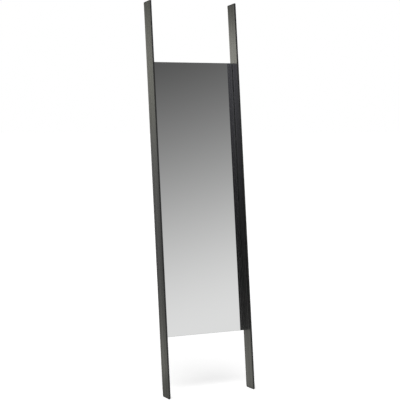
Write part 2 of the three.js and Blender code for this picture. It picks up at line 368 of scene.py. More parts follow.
class Effect(Enum):
    """Effects that more than one finish shares, each a node group."""

    BRUSHING = "lengthwise_brushing"
    MOTTLE = "fine_mottle"
    EDGE_WEAR = "edge_wear"
    DUST = "settled_dust"


def new_material(name: str) -> tuple[Material, Graph]:
    """Makes a material without nodes.

    Args:
        name: its name.

    Returns:
        The material and a graph over its nodes.
    """
    material = bpy.data.materials.new(name)
    material.use_nodes = True
    material.node_tree.nodes.clear()
    return material, Graph(material.node_tree)


@dataclass(frozen=True)
class Effects:
    """The shared node groups, each built once."""

    streak_squeeze: float = 0.007
    hairline_squeeze: float = 0.004
    streak_ends: Pair = (0.37, 0.63)
    cloud_ends: Pair = (0.3, 0.7)
    wear_squeeze: float = 0.25
    wear_clouds: float = 160.0
    wear_ends: Pair = (0.42, 0.62)
    upward_ends: Pair = (0.35, 0.95)
    dust_clouds: float = 220.0
    dust_ends: Pair = (0.35, 0.75)
    dust_cover: Pair = (0.2, 1.0)

    def build(self) -> None:
        """Builds all the groups."""
        self._add(Effect.BRUSHING, self._brushing, ("Lines", "Height"),
                  Streaks=90.0, Hairlines=900.0, Hairline_Share=0.4)
        self._add(Effect.MOTTLE, self._mottle, ("Grain", "Clouds", "Height"), Grain=1500.0, Clouds=12.0)
        self._add(Effect.EDGE_WEAR, self._edge_wear, ("Mask",),
                  Half_Width=0.0045, Half_Depth=0.037, Width=0.0012, Amount=0.5)
        self._add(Effect.DUST, self._dust, ("Mask",), Amount=0.3)

    def _add(self, effect: Effect, recipe: Callable, results: tuple[str, ...], **numbers: float) -> None:
        """Builds a group with a Vector and some numbers as inputs, and values as outputs.

        Args:
            effect: which group.
            recipe: writes the nodes, from a graph and the group's inputs, and returns what comes out.
            results: the outputs' names.
            numbers: the inputs' names, with underscores for spaces, and their values.
        """
        tree = bpy.data.node_groups.new(effect.value, "ShaderNodeTree")
        face = tree.interface
        face.new_socket(name="Vector", in_out="INPUT", socket_type="NodeSocketVector")
        for key, value in numbers.items():
            name = key.replace("_", " ")
            number = face.new_socket(name=name, in_out="INPUT", socket_type="NodeSocketFloat")
            number.default_value = value
        for name in results:
            face.new_socket(name=name, in_out="OUTPUT", socket_type="NodeSocketFloat")
        graph = Graph(tree)
        given = tree.nodes.new("NodeGroupInput").outputs
        taken = tree.nodes.new("NodeGroupOutput").inputs
        for name, value in zip(results, recipe(graph, given)):
            graph.feed(taken[name], value)

    def _brushing(self, graph: Graph, given: Sockets) -> tuple[Socket, ...]:
        """Long soft streaks with fine hairlines over them, both along z.

        Coordinates are squeezed along z, so that each cloud of the noise becomes a long streak.

        Args:
            graph: the group's graph.
            given: the group's inputs.

        Returns:
            A mask of lines from 0 to 1, and a height.
        """
        streak_place = graph.stretched(given["Vector"], (1.0, 1.0, self.streak_squeeze))
        hair_place = graph.stretched(given["Vector"], (1.0, 1.0, self.hairline_squeeze))
        streaks = graph.mapped(graph.noise(streak_place, given["Streaks"], 3.0, 0.55), self.streak_ends)
        hairs = graph.mapped(graph.noise(hair_place, given["Hairlines"], 2.0, 0.6), self.cloud_ends)
        return graph.mixed(given["Hairline Share"], streaks, hairs), hairs

    def _mottle(self, graph: Graph, given: Sockets) -> tuple[Socket, ...]:
        """Grain of one size with slow clouds under it, for coats, board, foam and rubber.

        Args:
            graph: the group's graph.
            given: the group's inputs.

        Returns:
            Masks of grain and clouds from 0 to 1, and a height.
        """
        grain = graph.noise(given["Vector"], given["Grain"], 2.0, 0.5)
        clouds = graph.noise(given["Vector"], given["Clouds"], 4.0, 0.55)
        return graph.mapped(grain, self.cloud_ends), graph.mapped(clouds, self.cloud_ends), grain

    def _edge_wear(self, graph: Graph, given: Sockets) -> tuple[Socket, ...]:
        """A broken mask along the long corners of a bar whose middle lies at the coordinates' origin.

        A point's distance from a corner is the larger of what it lacks to the half width and to the
        half depth. The mask is full at the corner, ends Width away, and noise eats into it.

        Args:
            graph: the group's graph.
            given: the group's inputs.

        Returns:
            The mask from 0 to 1.
        """
        x, y, _ = graph.split(given["Vector"])
        lack_x = graph.math("SUBTRACT", given["Half Width"], graph.math("ABSOLUTE", x))
        lack_y = graph.math("SUBTRACT", given["Half Depth"], graph.math("ABSOLUTE", y))
        away = graph.math("MAXIMUM", lack_x, lack_y)
        near = graph.math("SUBTRACT", 1.0, graph.math("DIVIDE", away, given["Width"]))
        long = graph.stretched(given["Vector"], (1.0, 1.0, self.wear_squeeze))
        broken = graph.mapped(graph.noise(long, self.wear_clouds, 4.0, 0.65), self.wear_ends)
        mask = graph.times(near, broken, given["Amount"])
        return (graph.mapped(mask, (0.0, 1.0)),)

    def _dust(self, graph: Graph, given: Sockets) -> tuple[Socket, ...]:
        """A thin patchy mask on faces that look up: the upward part of the normal times noise.

        Args:
            graph: the group's graph.
            given: the group's inputs.

        Returns:
            The mask from 0 to 1.
        """
        _, _, upward = graph.split(graph.node("NewGeometry").outputs["Normal"])
        lying = graph.mapped(upward, self.upward_ends)
        clouds = graph.noise(given["Vector"], self.dust_clouds, 5.0, 0.7)
        patches = graph.mapped(clouds, self.dust_ends, self.dust_cover)
        return (graph.times(lying, patches, given["Amount"]),)


# Finishes


@dataclass(frozen=True)
class Finish:
    """What every finish has: a name, the record's slot that it dresses, and a Principled shader."""

    name: str
    slot: str

    def look(self, graph: Graph) -> Inputs:
        """What goes into the shader, by input."""
        raise NotImplementedError

    def build(self) -> Material:
        """Makes the material.

        Returns:
            The material.
        """
        material, graph = new_material(self.name)
        shader = graph.node("BsdfPrincipled", self.look(graph))
        graph.node("OutputMaterial", {"Surface": shader.outputs[0]})
        return material


@dataclass(frozen=True)
class AnthraciteLacquer(Finish):
    """Dark satin lacquer over steel that was brushed along its length, worn at the long corners."""

    name: str = "anthracite_lacquer"
    slot: str = "dark_steel"
    dark: Colour = colour(0.006, 0.006, 0.006)
    light: Colour = colour(0.026, 0.026, 0.0255)
    worn: Colour = colour(0.09, 0.088, 0.082)
    dust: Colour = colour(0.32, 0.31, 0.29)
    streaks: float = 85.0
    hairlines: float = 850.0
    hairline_share: float = 0.12
    worn_amount: float = 0.35
    dust_amount: float = 0.25
    roughness: Pair = (0.20, 0.30)
    thick_coat: float = 0.42
    coat_roughness: float = 0.24
    bends_light: float = 1.4
    bump: float = 0.000012
    half_width: float = 0.0045
    half_depth: float = 0.037
    bar_middle: float = 0.2405

    def look(self, graph: Graph) -> Inputs:
        """Streaks drive colour, roughness, the thickness of the clear coat and a trace of bump.

        Args:
            graph: the material's graph.

        Returns:
            What goes into the shader, by input.
        """
        place = graph.along_bars()
        x, y, z = graph.split(place)
        across = graph.math("SUBTRACT", graph.math("ABSOLUTE", x), self.bar_middle)
        deep = graph.math("SUBTRACT", y, self.half_depth)
        centred = graph.node("CombineXYZ", {0: across, 1: deep, 2: z}).outputs[0]
        brushed = graph.effect(Effect.BRUSHING, place, Streaks=self.streaks, Hairlines=self.hairlines,
                               Hairline_Share=self.hairline_share)
        wear = graph.effect(Effect.EDGE_WEAR, centred, Half_Width=self.half_width,
                            Half_Depth=self.half_depth, Amount=self.worn_amount)
        dust = graph.effect(Effect.DUST, place, Amount=self.dust_amount)
        base = graph.blended(brushed["Lines"], self.dark, self.light)
        base = graph.blended(wear["Mask"], base, self.worn)
        return {
            "Base Color": graph.blended(dust["Mask"], base, self.dust),
            "Roughness": graph.mapped(brushed["Lines"], (0.0, 1.0), self.roughness),
            "IOR": self.bends_light,
            "Coat Weight": graph.times(brushed["Lines"], self.thick_coat),
            "Coat Roughness": self.coat_roughness,
            "Coat IOR": self.bends_light,
            "Normal": graph.bumped(brushed["Height"], self.bump),
        }


@dataclass(frozen=True)
class SilveredGlass(Finish):
    """Clear mirror: silver in front, polished green-grey edges, and grey paint on the back."""

    name: str = "silvered_glass"
    slot: str = "mirror"
    silver: Colour = colour(0.92, 0.925, 0.922)
    edge: Colour = colour(0.035, 0.060, 0.052)
    paint: Colour = colour(0.19, 0.19, 0.185)
    front: float = 0.05504
    back: float = 0.05994
    grain: float = 700.0
    clouds: float = 6.0
    smear_start: float = 0.55
    smear: Pair = (0.004, 0.012)
    polished: float = 0.12
    painted: float = 0.5

    def look(self, graph: Graph) -> Inputs:
        """The depth along y tells front, edge and back apart, and clouds smear the front a little.

        Args:
            graph: the material's graph.

        Returns:
            What goes into the shader, by input.
        """
        place = graph.along_bars()
        _, depth, _ = graph.split(place)
        silvered = graph.math("LESS_THAN", depth, self.front)
        painted = graph.math("GREATER_THAN", depth, self.back)
        mottle = graph.effect(Effect.MOTTLE, place, Grain=self.grain, Clouds=self.clouds)
        smear = graph.mapped(mottle["Clouds"], (self.smear_start, 1.0), self.smear)
        plain = graph.mapped(painted, (0.0, 1.0), (self.polished, self.painted))
        base = graph.blended(silvered, self.edge, self.silver)
        return {
            "Base Color": graph.blended(painted, base, self.paint),
            "Metallic": silvered,
            "Roughness": graph.mixed(silvered, plain, smear),
        }


@dataclass(frozen=True)
class MottledFinish(Finish):
    """A finish of grain and slow clouds: board, powder coat, foam or rubber."""

    dark: Colour
    light: Colour
    grain: float
    clouds: float
    roughness: Pair
    bump: float
    dust_amount: float = 0.35
    dust: Colour = colour(0.30, 0.29, 0.27)
    cloud_share: float = 0.4
    grain_share: float = 0.6

    def look(self, graph: Graph) -> Inputs:
        """Grain and clouds mix the two colours, clouds change the roughness, and dust lies on top.

        Args:
            graph: the material's graph.

        Returns:
            What goes into the shader, by input.
        """
        place = graph.along_bars()
        mottle = graph.effect(Effect.MOTTLE, place, Grain=self.grain, Clouds=self.clouds)
        dust = graph.effect(Effect.DUST, place, Amount=self.dust_amount)
        grain = graph.times(mottle["Grain"], self.grain_share)
        share = graph.math("MULTIPLY_ADD", mottle["Clouds"], self.cloud_share, grain)
        base = graph.blended(share, self.dark, self.light)
        return {
            "Base Color": graph.blended(dust["Mask"], base, self.dust),
            "Roughness": graph.mapped(mottle["Clouds"], (0.0, 1.0), self.roughness),
            "Normal": graph.bumped(mottle["Height"], self.bump),
        }


@dataclass(frozen=True)
class BrightZinc(Finish):
    """Zinc plated steel with turning marks round the axis and a faint blue and straw tint."""

    name: str = "bright_zinc"
    slot: str = "zinc_screw"
    blue: Colour = colour(0.50, 0.53, 0.57)
    straw: Colour = colour(0.60, 0.58, 0.50)
    marks_round: float = 0.6
    marks_along: float = 9000.0
    mark_ends: Pair = (0.3, 0.7)
    roughness: Pair = (0.24, 0.4)
    grain: float = 2200.0
    clouds: float = 260.0
    bump: float = 0.000006

    def look(self, graph: Graph) -> Inputs:
        """Turning marks run with the map's second axis, which is the length along the profile.

        Args:
            graph: the material's graph.

        Returns:
            What goes into the shader, by input.
        """
        follow = graph.node("UVMap", uv_map="follow").outputs[0]
        squeezed = graph.stretched(follow, (self.marks_round, self.marks_along, 1.0))
        marks = graph.noise(squeezed, 1.0, 2.0, 0.5)
        mottle = graph.effect(Effect.MOTTLE, graph.place(), Grain=self.grain, Clouds=self.clouds)
        return {
            "Base Color": graph.blended(mottle["Clouds"], self.blue, self.straw),
            "Metallic": 1.0,
            "Roughness": graph.mapped(marks, self.mark_ends, self.roughness),
            "Normal": graph.bumped(marks, self.bump),
        }


FINISHES = (
    AnthraciteLacquer(),
    SilveredGlass(),
    BrightZinc(),
    MottledFinish("black_fibreboard", "black_board", colour(0.020, 0.019, 0.019),
                  colour(0.066, 0.063, 0.060), grain=1100.0, clouds=9.0, roughness=(0.72, 0.92),
                  bump=0.00008),
    MottledFinish("black_powder_coat", "black_sheet", colour(0.052, 0.053, 0.056),
                  colour(0.100, 0.101, 0.104), grain=2400.0, clouds=20.0, roughness=(0.30, 0.42),
                  bump=0.00007),
    MottledFinish("grey_foam", "foam_tape", colour(0.20, 0.20, 0.19), colour(0.36, 0.36, 0.35),
                  grain=3200.0, clouds=60.0, roughness=(0.85, 0.98), bump=0.00012, dust_amount=0.0),
    MottledFinish("black_rubber", "black_rubber", colour(0.008, 0.008, 0.008),
                  colour(0.018, 0.018, 0.018), grain=2600.0, clouds=50.0, roughness=(0.62, 0.8),
                  bump=0.00003, dust_amount=0.1),
)


class Wardrobe:
    """All the finishes, built once and handed out by slot."""

    def __init__(self) -> None:
        """Builds the shared effects and every material."""
        Effects().build()
        self.materials = {finish.slot: finish.build() for finish in FINISHES}

    def dress(self, piece: Piece, slot: str) -> None:
        """Gives a piece the material of a slot.

        Args:
            piece: the object.
            slot: the record's slot name.
        """
        materials = piece.data.materials
        if len(materials) == 0:
            materials.append(self.materials[slot])
        for index in range(len(materials)):
            materials[index] = self.materials[slot]


# Sub-assemblies


@dataclass
class SubAssembly:
    """What every sub-assembly has: the finishes, and a way to hand in its new pieces."""

    wardrobe: Wardrobe

    def settle(self, piece: Piece, slot: str, *stands_for: str) -> None:
        """Dresses a new piece, sets what it rides on, and hides the CAD nodes it stands for.

        Args:
            piece: the new piece.
            slot: the record's slot name.
            stands_for: the CAD nodes that it replaces.
        """
        self.wardrobe.dress(piece, slot)
        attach(piece, BODY)
        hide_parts(*stands_for)
        log.info("%s: %d faces", piece.name, len(piece.data.polygons))


@dataclass
class SteelAndGlass(SubAssembly):
    """The CAD nodes whose shape is right as it is: bars, caps, pane, board, tapes and rails."""

    tapes: int = 4

    def slots(self) -> dict[str, str]:
        """The slot of each node that stays.

        Returns:
            The slots by node name.
        """
        kept = {"mirror_glass": "mirror", "backing_board": "black_board"}
        kept.update({f"upright_{side.word}": "dark_steel" for side in Side})
        kept.update({f"wall_pad_{side.word}": "black_rubber" for side in Side})
        kept.update({f"cross_rail_{tier.word}": "black_sheet" for tier in Tier})
        kept.update({f"tape_strip_{number + 1}": "foam_tape" for number in range(self.tapes)})
        return kept

    def build(self) -> None:
        """Gives every kept node its material."""
        for node, slot in self.slots().items():
            self.wardrobe.dress(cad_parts[node], slot)
            log.info("%s: dressed as %s", node, slot)


@dataclass
class ButtonScrews(SubAssembly):
    """Button head screws with a six-sided socket and a rolled thread, through the rails' tabs."""

    shank: float = 2.0 * MM
    length: float = 8.1 * MM
    head: float = 3.7 * MM
    head_height: float = 2.2 * MM
    flat: float = 1.9 * MM
    socket: float = 1.45 * MM
    socket_depth: float = 1.3 * MM
    socket_ease: float = 0.12 * MM
    drill_point: float = 0.05 * MM
    drill_depth: float = 0.3 * MM
    pitch: float = 0.7 * MM
    thread_depth: float = 0.36 * MM
    tip_ease: float = 0.5 * MM
    tab_face: float = 232.4 * MM
    depth_place: float = 64.5 * MM
    spread: float = 24.0 * MM
    around: int = 48
    thread_steps: int = 8
    dome_points: int = 11

    def thread(self) -> tuple[Floats, Floats]:
        """The rolled thread: the radius falls from the crest by a helix's triangle wave.

        The crest climbs by one pitch a turn, and the wave fades out at the tip and under the head.

        Returns:
            A radius per ring and place, and a height per ring.
        """
        height = np.linspace(-self.length, 0.0, int(self.length / self.pitch * self.thread_steps))
        wave = helix(height, self.pitch, self.around)
        from_tip = np.clip((height + self.length) / self.tip_ease, 0.0, 1.0)
        from_head = np.clip(-height / self.pitch, 0.0, 1.0)
        cut = self.thread_depth * wave * (from_tip * from_head)[:, None]
        eased = self.shank - self.tip_ease * (1.0 - from_tip)
        return eased[:, None] - cut, height

    def dome(self) -> tuple[Floats, Floats]:
        """The head from its seat over a quarter of an ellipse to the flat round the socket.

        Returns:
            A radius per ring and place, and a height per ring.
        """
        angle = quarter(self.dome_points)
        radius = self.flat + (self.head - self.flat) * np.cos(angle)
        return np.repeat(radius[:, None], self.around, axis=1), self.head_height * np.sin(angle)

    def hexagon(self, size: float) -> Floats:
        """A six-sided outline: the radius is the flat's distance over the cosine of the folded angle."""
        folded = (turns(self.around) + math.pi / 6) % (math.pi / 3) - math.pi / 6
        return size * math.cos(math.pi / 6) / np.cos(folded)

    def rings(self) -> Floats:
        """Shank, head, socket walls and the drill's cone at the bottom of the socket, as one surface.

        Returns:
            The rings in the screw's own axes, its head towards +y.
        """
        shank_radius, shank_height = self.thread()
        dome_radius, dome_height = self.dome()
        wall = self.hexagon(self.socket)
        mouth = [self.hexagon(self.socket + self.socket_ease), wall, wall,
                 np.full(self.around, self.drill_point)]
        floor = self.head_height - self.socket_depth
        mouth_height = [self.head_height, self.head_height - self.socket_ease, floor,
                        floor - self.drill_depth]
        return revolved(np.concatenate([shank_radius, dome_radius, mouth]),
                        np.concatenate([shank_height, dome_height, mouth_height]))

    def build(self) -> None:
        """Places a screw at every hole of every tab, its head towards the middle."""
        own = self.rings()
        for tier in Tier:
            for side in Side:
                for word, sign in (("low", -1), ("high", 1)):
                    name = f"{tier.word}_{side.word}_{word}"
                    seat = (side.value * self.tab_face, self.depth_place,
                            tier.value + sign * self.spread / 2)
                    points = aimed(own, (-float(side.value), 0.0, 0.0), seat)
                    piece = Surface(AXES.placed(points)).piece(f"button_screw_{name}")
                    self.settle(piece, "zinc_screw", f"rail_screw_{name}")


@dataclass
class CountersunkScrews(SubAssembly):
    """Countersunk screws with a cross recess and a coarse thread, through the rails into the board."""

    shank: float = 1.75 * MM
    length: float = 8.74 * MM
    head: float = 3.5 * MM
    rim: float = 0.3 * MM
    rim_ease: float = 0.1 * MM
    tip: float = 2.0 * MM
    tip_share: float = 0.02
    pitch: float = 1.4 * MM
    thread_depth: float = 0.5 * MM
    groove_slope: float = 1.6
    groove_start: float = 0.3
    recess_arm: float = 1.8 * MM
    recess_half: float = 0.45 * MM
    recess_depth: float = 1.2 * MM
    recess_point: float = 0.12 * MM
    low_arm: float = 0.62
    low_half: float = 0.8
    low_depth: float = 0.86
    rail_back: float = 72.9 * MM
    aside: float = 0.169
    around: int = 64
    thread_steps: int = 8

    def cross(self, arm: float, half: float) -> Floats:
        """A cross-shaped outline: the nearer of the arm's end and the arm's side at each angle."""
        folded = np.abs((turns(self.around) + math.pi / 4) % (math.pi / 2) - math.pi / 4)
        return np.minimum(arm / np.cos(folded), half / np.maximum(np.sin(folded), 1e-6))

    def thread(self) -> tuple[Floats, Floats]:
        """The coarse thread from the tip to the neck under the head.

        It is a ridge where a helix's triangle wave is low, and the whole shank tapers to the tip.

        Returns:
            A radius per ring and place, and a height per ring.
        """
        neck = -self.rim - (self.head - self.shank)
        count = int((neck + self.length) / self.pitch * self.thread_steps)
        height = np.linspace(-self.length, neck, count)
        wave = helix(height, self.pitch, self.around)
        groove = np.clip(wave * self.groove_slope - self.groove_start, 0.0, 1.0)
        taper = np.clip((height + self.length) / self.tip, self.tip_share, 1.0)
        calm = np.clip((neck - height) / self.pitch, 0.0, 1.0)
        return (self.shank - self.thread_depth * groove * calm[:, None]) * taper[:, None], height

    def rings(self) -> Floats:
        """Thread, cone, rim, and the recess that narrows towards its bottom.

        Returns:
            The rings in the screw's own axes, the top of its head at y = 0.
        """
        thread, height = self.thread()
        plain = np.full(self.around, 1.0)
        top = [
            plain * self.head,
            plain * self.head,
            plain * (self.head - self.rim_ease),
            self.cross(self.recess_arm, self.recess_half),
            self.cross(self.recess_arm * self.low_arm, self.recess_half * self.low_half),
            plain * self.recess_point,
        ]
        top_height = [-self.rim, -self.rim_ease, 0.0, 0.0, -self.recess_depth * self.low_depth,
                      -self.recess_depth]
        return revolved(np.concatenate([thread, top]), np.concatenate([height, top_height]))

    def build(self) -> None:
        """Places three screws in every rail."""
        own = self.rings()
        for tier in Tier:
            for word, x in (("left", -self.aside), ("centre", 0.0), ("right", self.aside)):
                name = f"{tier.word}_{word}"
                points = aimed(own, (0.0, 1.0, 0.0), (x, self.rail_back, tier.value))
                piece = Surface(AXES.placed(points)).piece(f"countersunk_screw_{name}")
                self.settle(piece, "zinc_screw", f"board_screw_{name}")


@dataclass
class FloorPads(SubAssembly):
    """Rubber pads under the bars: a ribbed slab with two pegs that stand in the bar."""

    bar_middle: float = 240.5 * MM
    foot_depth: float = 74.435 * MM
    inset: float = 0.6 * MM
    width: float = 7.8 * MM
    thickness: float = 5.0 * MM
    corner: float = 1.5 * MM
    corner_points: int = 8
    ease: float = 0.4 * MM
    ease_points: int = 5
    groove: float = 0.28 * MM
    grooves: int = 3
    groove_steps: int = 12
    peg: float = 1.7 * MM
    peg_length: float = 8.0 * MM
    peg_sides: int = 24
    peg_shares: Pair = (0.25, 0.75)

    def insets(self) -> tuple[Floats, Floats]:
        """How far each level lies in from the outline: eased at both ends, with round grooves between.

        An eased end follows a quarter circle. Between them the inset is the groove's depth times the
        positive part of a sine, so that ribs and grooves take turns.

        Returns:
            The insets, and the heights of the levels.
        """
        turn = quarter(self.ease_points)
        low_height = self.ease * (1.0 - np.cos(turn))
        low_inset = self.ease * (1.0 - np.sin(turn))
        share = np.linspace(0.0, 1.0, self.groove_steps * self.grooves + 1)[1:-1]
        mid_height = self.ease + share * (self.thickness - 2 * self.ease)
        wave = np.sin(share * 2 * math.pi * self.grooves - math.pi / 2)
        mid_inset = self.groove * np.maximum(wave, 0.0)
        return (np.concatenate([low_inset, mid_inset, low_inset[::-1]]),
                np.concatenate([low_height, mid_height, self.thickness - low_height[::-1]]))

    def slab(self) -> Floats:
        """The slab's rings: each corner point lies the corner radius less the inset from its centre.

        Returns:
            The rings about the slab's own middle, from the floor upwards.
        """
        depth = self.foot_depth - 2 * self.inset
        angle = np.concatenate([quarter(self.corner_points) + turn * math.pi / 2 for turn in range(4)])
        sign_x = np.repeat([1.0, -1.0, -1.0, 1.0], self.corner_points)
        sign_y = np.repeat([1.0, 1.0, -1.0, -1.0], self.corner_points)
        insets, heights = self.insets()
        reach = self.corner - insets[:, None]
        x = sign_x * (self.width / 2 - self.corner) + reach * np.cos(angle)
        y = sign_y * (depth / 2 - self.corner) + reach * np.sin(angle)
        return np.stack([x, y, np.broadcast_to(heights[:, None], x.shape)], axis=-1)

    def round_peg(self, share: float) -> Floats:
        """A round peg with an eased top, from the middle of the slab upwards.

        Args:
            share: its place along the foot, from 0 in front to 1 behind.

        Returns:
            The rings about the slab's own middle.
        """
        top = self.thickness + self.peg_length
        turn = quarter(self.ease_points)
        radius = np.concatenate([[self.peg], self.peg - self.ease * (1.0 - np.cos(turn))])
        height = np.concatenate([[self.thickness / 2], top - self.ease + self.ease * np.sin(turn)])
        angle = turns(self.peg_sides)
        x = radius[:, None] * np.cos(angle)
        y = radius[:, None] * np.sin(angle) + (share - 0.5) * self.foot_depth
        return np.stack([x, y, np.broadcast_to(height[:, None], x.shape)], axis=-1)

    def build(self) -> None:
        """Places a pad under each bar."""
        for side in Side:
            middle = np.array([side.value * self.bar_middle, (self.foot_depth - AXES.reach) / 2, 0.0])
            piece = Surface(self.slab() + middle).piece(f"ribbed_foot_{side.word}")
            pegs = [self.round_peg(share) + middle for share in self.peg_shares]
            united(piece, [Surface(rings).piece("peg") for rings in pegs])
            self.settle(piece, "black_rubber", f"floor_pad_{side.word}")


# Studio


def staged(name: str, outline: Floats, material: Material) -> Piece:
    """Makes a flat piece of the studio, which is no part of the object.

    Args:
        name: its name.
        outline: the corners of its one face, in order.
        material: its material.

    Returns:
        The object.
    """
    mesh = bpy.data.meshes.new(name)
    mesh.from_pydata(outline, [], [list(range(len(outline)))])
    mesh.materials.append(material)
    made = linked(name, mesh)
    return made


@dataclass(frozen=True)
class StudioCamera:
    """The camera that took the picture, as the object's edges in it show."""

    azimuth: float = math.radians(-27.255)
    distance: float = 6.202642
    height: float = 1.456481
    yaw: float = math.radians(-26.9126)
    pitch: float = math.radians(-4.3617)
    roll: float = math.radians(0.026)
    focal_pixels: float = 1231.25
    frame_pixels: float = 400.0
    sensor: float = 36.0
    far_clip: float = 200.0
    aim_depth: float = 0.060
    foot_front: float = -0.145724

    def build(self) -> None:
        """Stands the camera at its azimuth and distance round a point between the bars."""
        data = bpy.data.cameras.new("studio_camera")
        data.sensor_width = self.sensor
        data.lens = self.focal_pixels * self.sensor / self.frame_pixels
        data.clip_end = self.far_clip
        camera = linked("studio_camera", data)
        camera.location = (
            self.distance * math.sin(self.azimuth),
            self.foot_front + self.aim_depth - self.distance * math.cos(self.azimuth),
            self.height,
        )
        camera.rotation_euler = (math.pi / 2 + self.pitch, self.roll, self.yaw)
        bpy.context.scene.camera = camera


@dataclass(frozen=True)
class Surroundings:
    """What lights the object and what its shiny faces show: a pale studio with a bright low front.

    Elevations and bearings are in degrees, and a bearing counts from straight in front to the right.
    """

    fill_ends: Pair = (-0.5, 0.5)
    fills: Pair = (0.1, 1.0)
    seam: Pair = (-0.12, 0.12)
    horizon_tone: float = 0.8848
    fade_depth: float = 1.4611
    fade_start: float = 0.849
    fade_half: float = 17.435
    fade_power: float = 1.684
    darkest_tone: float = 0.20
    bright_side: float = 27.0
    side_tilt: float = 0.2
    side_reach: Pair = (-15.0, 15.0)
    corner_ends: Pair = (3.0, 12.5)
    corner_tones: Pair = (0.0, 0.8)
    corner_bearings: Pair = (-8.0, 8.0)
    corner_tint: Colour = colour(1.0, 0.99, 1.12)
    display_power: float = 2.2
    glow: float = 1.72
    glow_height: float = 2.8
    glow_half: float = 1.35
    glow_power: float = 4.0
    back_ends: Pair = (0.0, 5.0)
    back_tones: Pair = (1.03, 0.03)
    back_tint: Triple = (1.0, 1.0, 0.87)

    def build(self) -> None:
        """Writes the world: white to the camera, plain to matt faces, and graded to shiny ones."""
        world = bpy.data.worlds.new("studio")
        bpy.context.scene.world = world
        world.use_nodes = True
        world.cycles.sampling_method = "NONE"
        world.node_tree.nodes.clear()
        graph = Graph(world.node_tree)
        x, y, z = graph.split(graph.node("TexCoord").outputs["Generated"])
        elevation = graph.math("DEGREES", graph.math("ARCSINE", z))
        bearing = graph.math("DEGREES", graph.math("ARCTAN2", x, graph.times(y, -1.0)))
        turned = graph.mapped(y, self.seam, ramp=Ramp.SOFT)
        front, behind = self.front(graph, bearing, elevation), self.behind(graph, elevation)
        shown = graph.blended(turned, front, behind)
        fill = graph.mapped(y, self.fill_ends, self.fills, Ramp.SOFT)
        plain = graph.blended(graph.shiny(), fill, shown)
        final = graph.blended(graph.node("LightPath").outputs["Is Camera Ray"], plain, WHITE)
        light = graph.node("Background", {"Color": final})
        graph.node("OutputWorld", {"Surface": light.outputs[0]})

    def front(self, graph: Graph, bearing: Socket, elevation: Socket) -> Socket:
        """The tone in front falls along a bell from the horizon up, sooner on the left.

        On the left, a ray that has met both bar and pane sees a dark tone that rises with the
        elevation.

        Args:
            graph: the world's graph.
            bearing: the ray's bearing.
            elevation: the ray's elevation.

        Returns:
            The radiance in front.
        """
        aside = graph.math("SUBTRACT", bearing, self.bright_side)
        aside = graph.mapped(aside, self.side_reach, self.side_reach)
        height = graph.math("SUBTRACT", elevation, graph.times(aside, self.side_tilt))
        above = graph.math("MAXIMUM", graph.math("SUBTRACT", height, self.fade_start), 0.0)
        bell = graph.bell(above, self.fade_half, self.fade_power, self.fade_depth)
        low = graph.math("ADD", bell, self.horizon_tone - self.fade_depth)
        pane = graph.math("MAXIMUM", low, self.darkest_tone)
        corner = graph.mapped(elevation, self.corner_ends, self.corner_tones)
        left = graph.mapped(bearing, self.corner_bearings, (1.0, 0.0), Ramp.SOFT)
        twice = graph.math("GREATER_THAN", graph.node("LightPath").outputs["Glossy Depth"], 1.5)
        in_corner = graph.times(left, twice)
        tone = graph.math("POWER", graph.mixed(in_corner, pane, corner), self.display_power)
        return graph.scaled(graph.blended(in_corner, WHITE, self.corner_tint), tone)

    def behind(self, graph: Graph, elevation: Socket) -> Socket:
        """Behind, a bright band lies like a bell a little above the horizon, and the rest is grey.

        Args:
            graph: the world's graph.
            elevation: the ray's elevation.

        Returns:
            The radiance behind.
        """
        offset = graph.math("ABSOLUTE", graph.math("SUBTRACT", elevation, self.glow_height))
        bell = graph.bell(offset, self.glow_half, self.glow_power)
        rest = graph.mapped(elevation, self.back_ends, self.back_tones, Ramp.SOFT)
        spare = graph.math("SUBTRACT", self.glow, rest)
        return graph.scaled(self.back_tint, graph.math("MULTIPLY_ADD", spare, bell, rest))


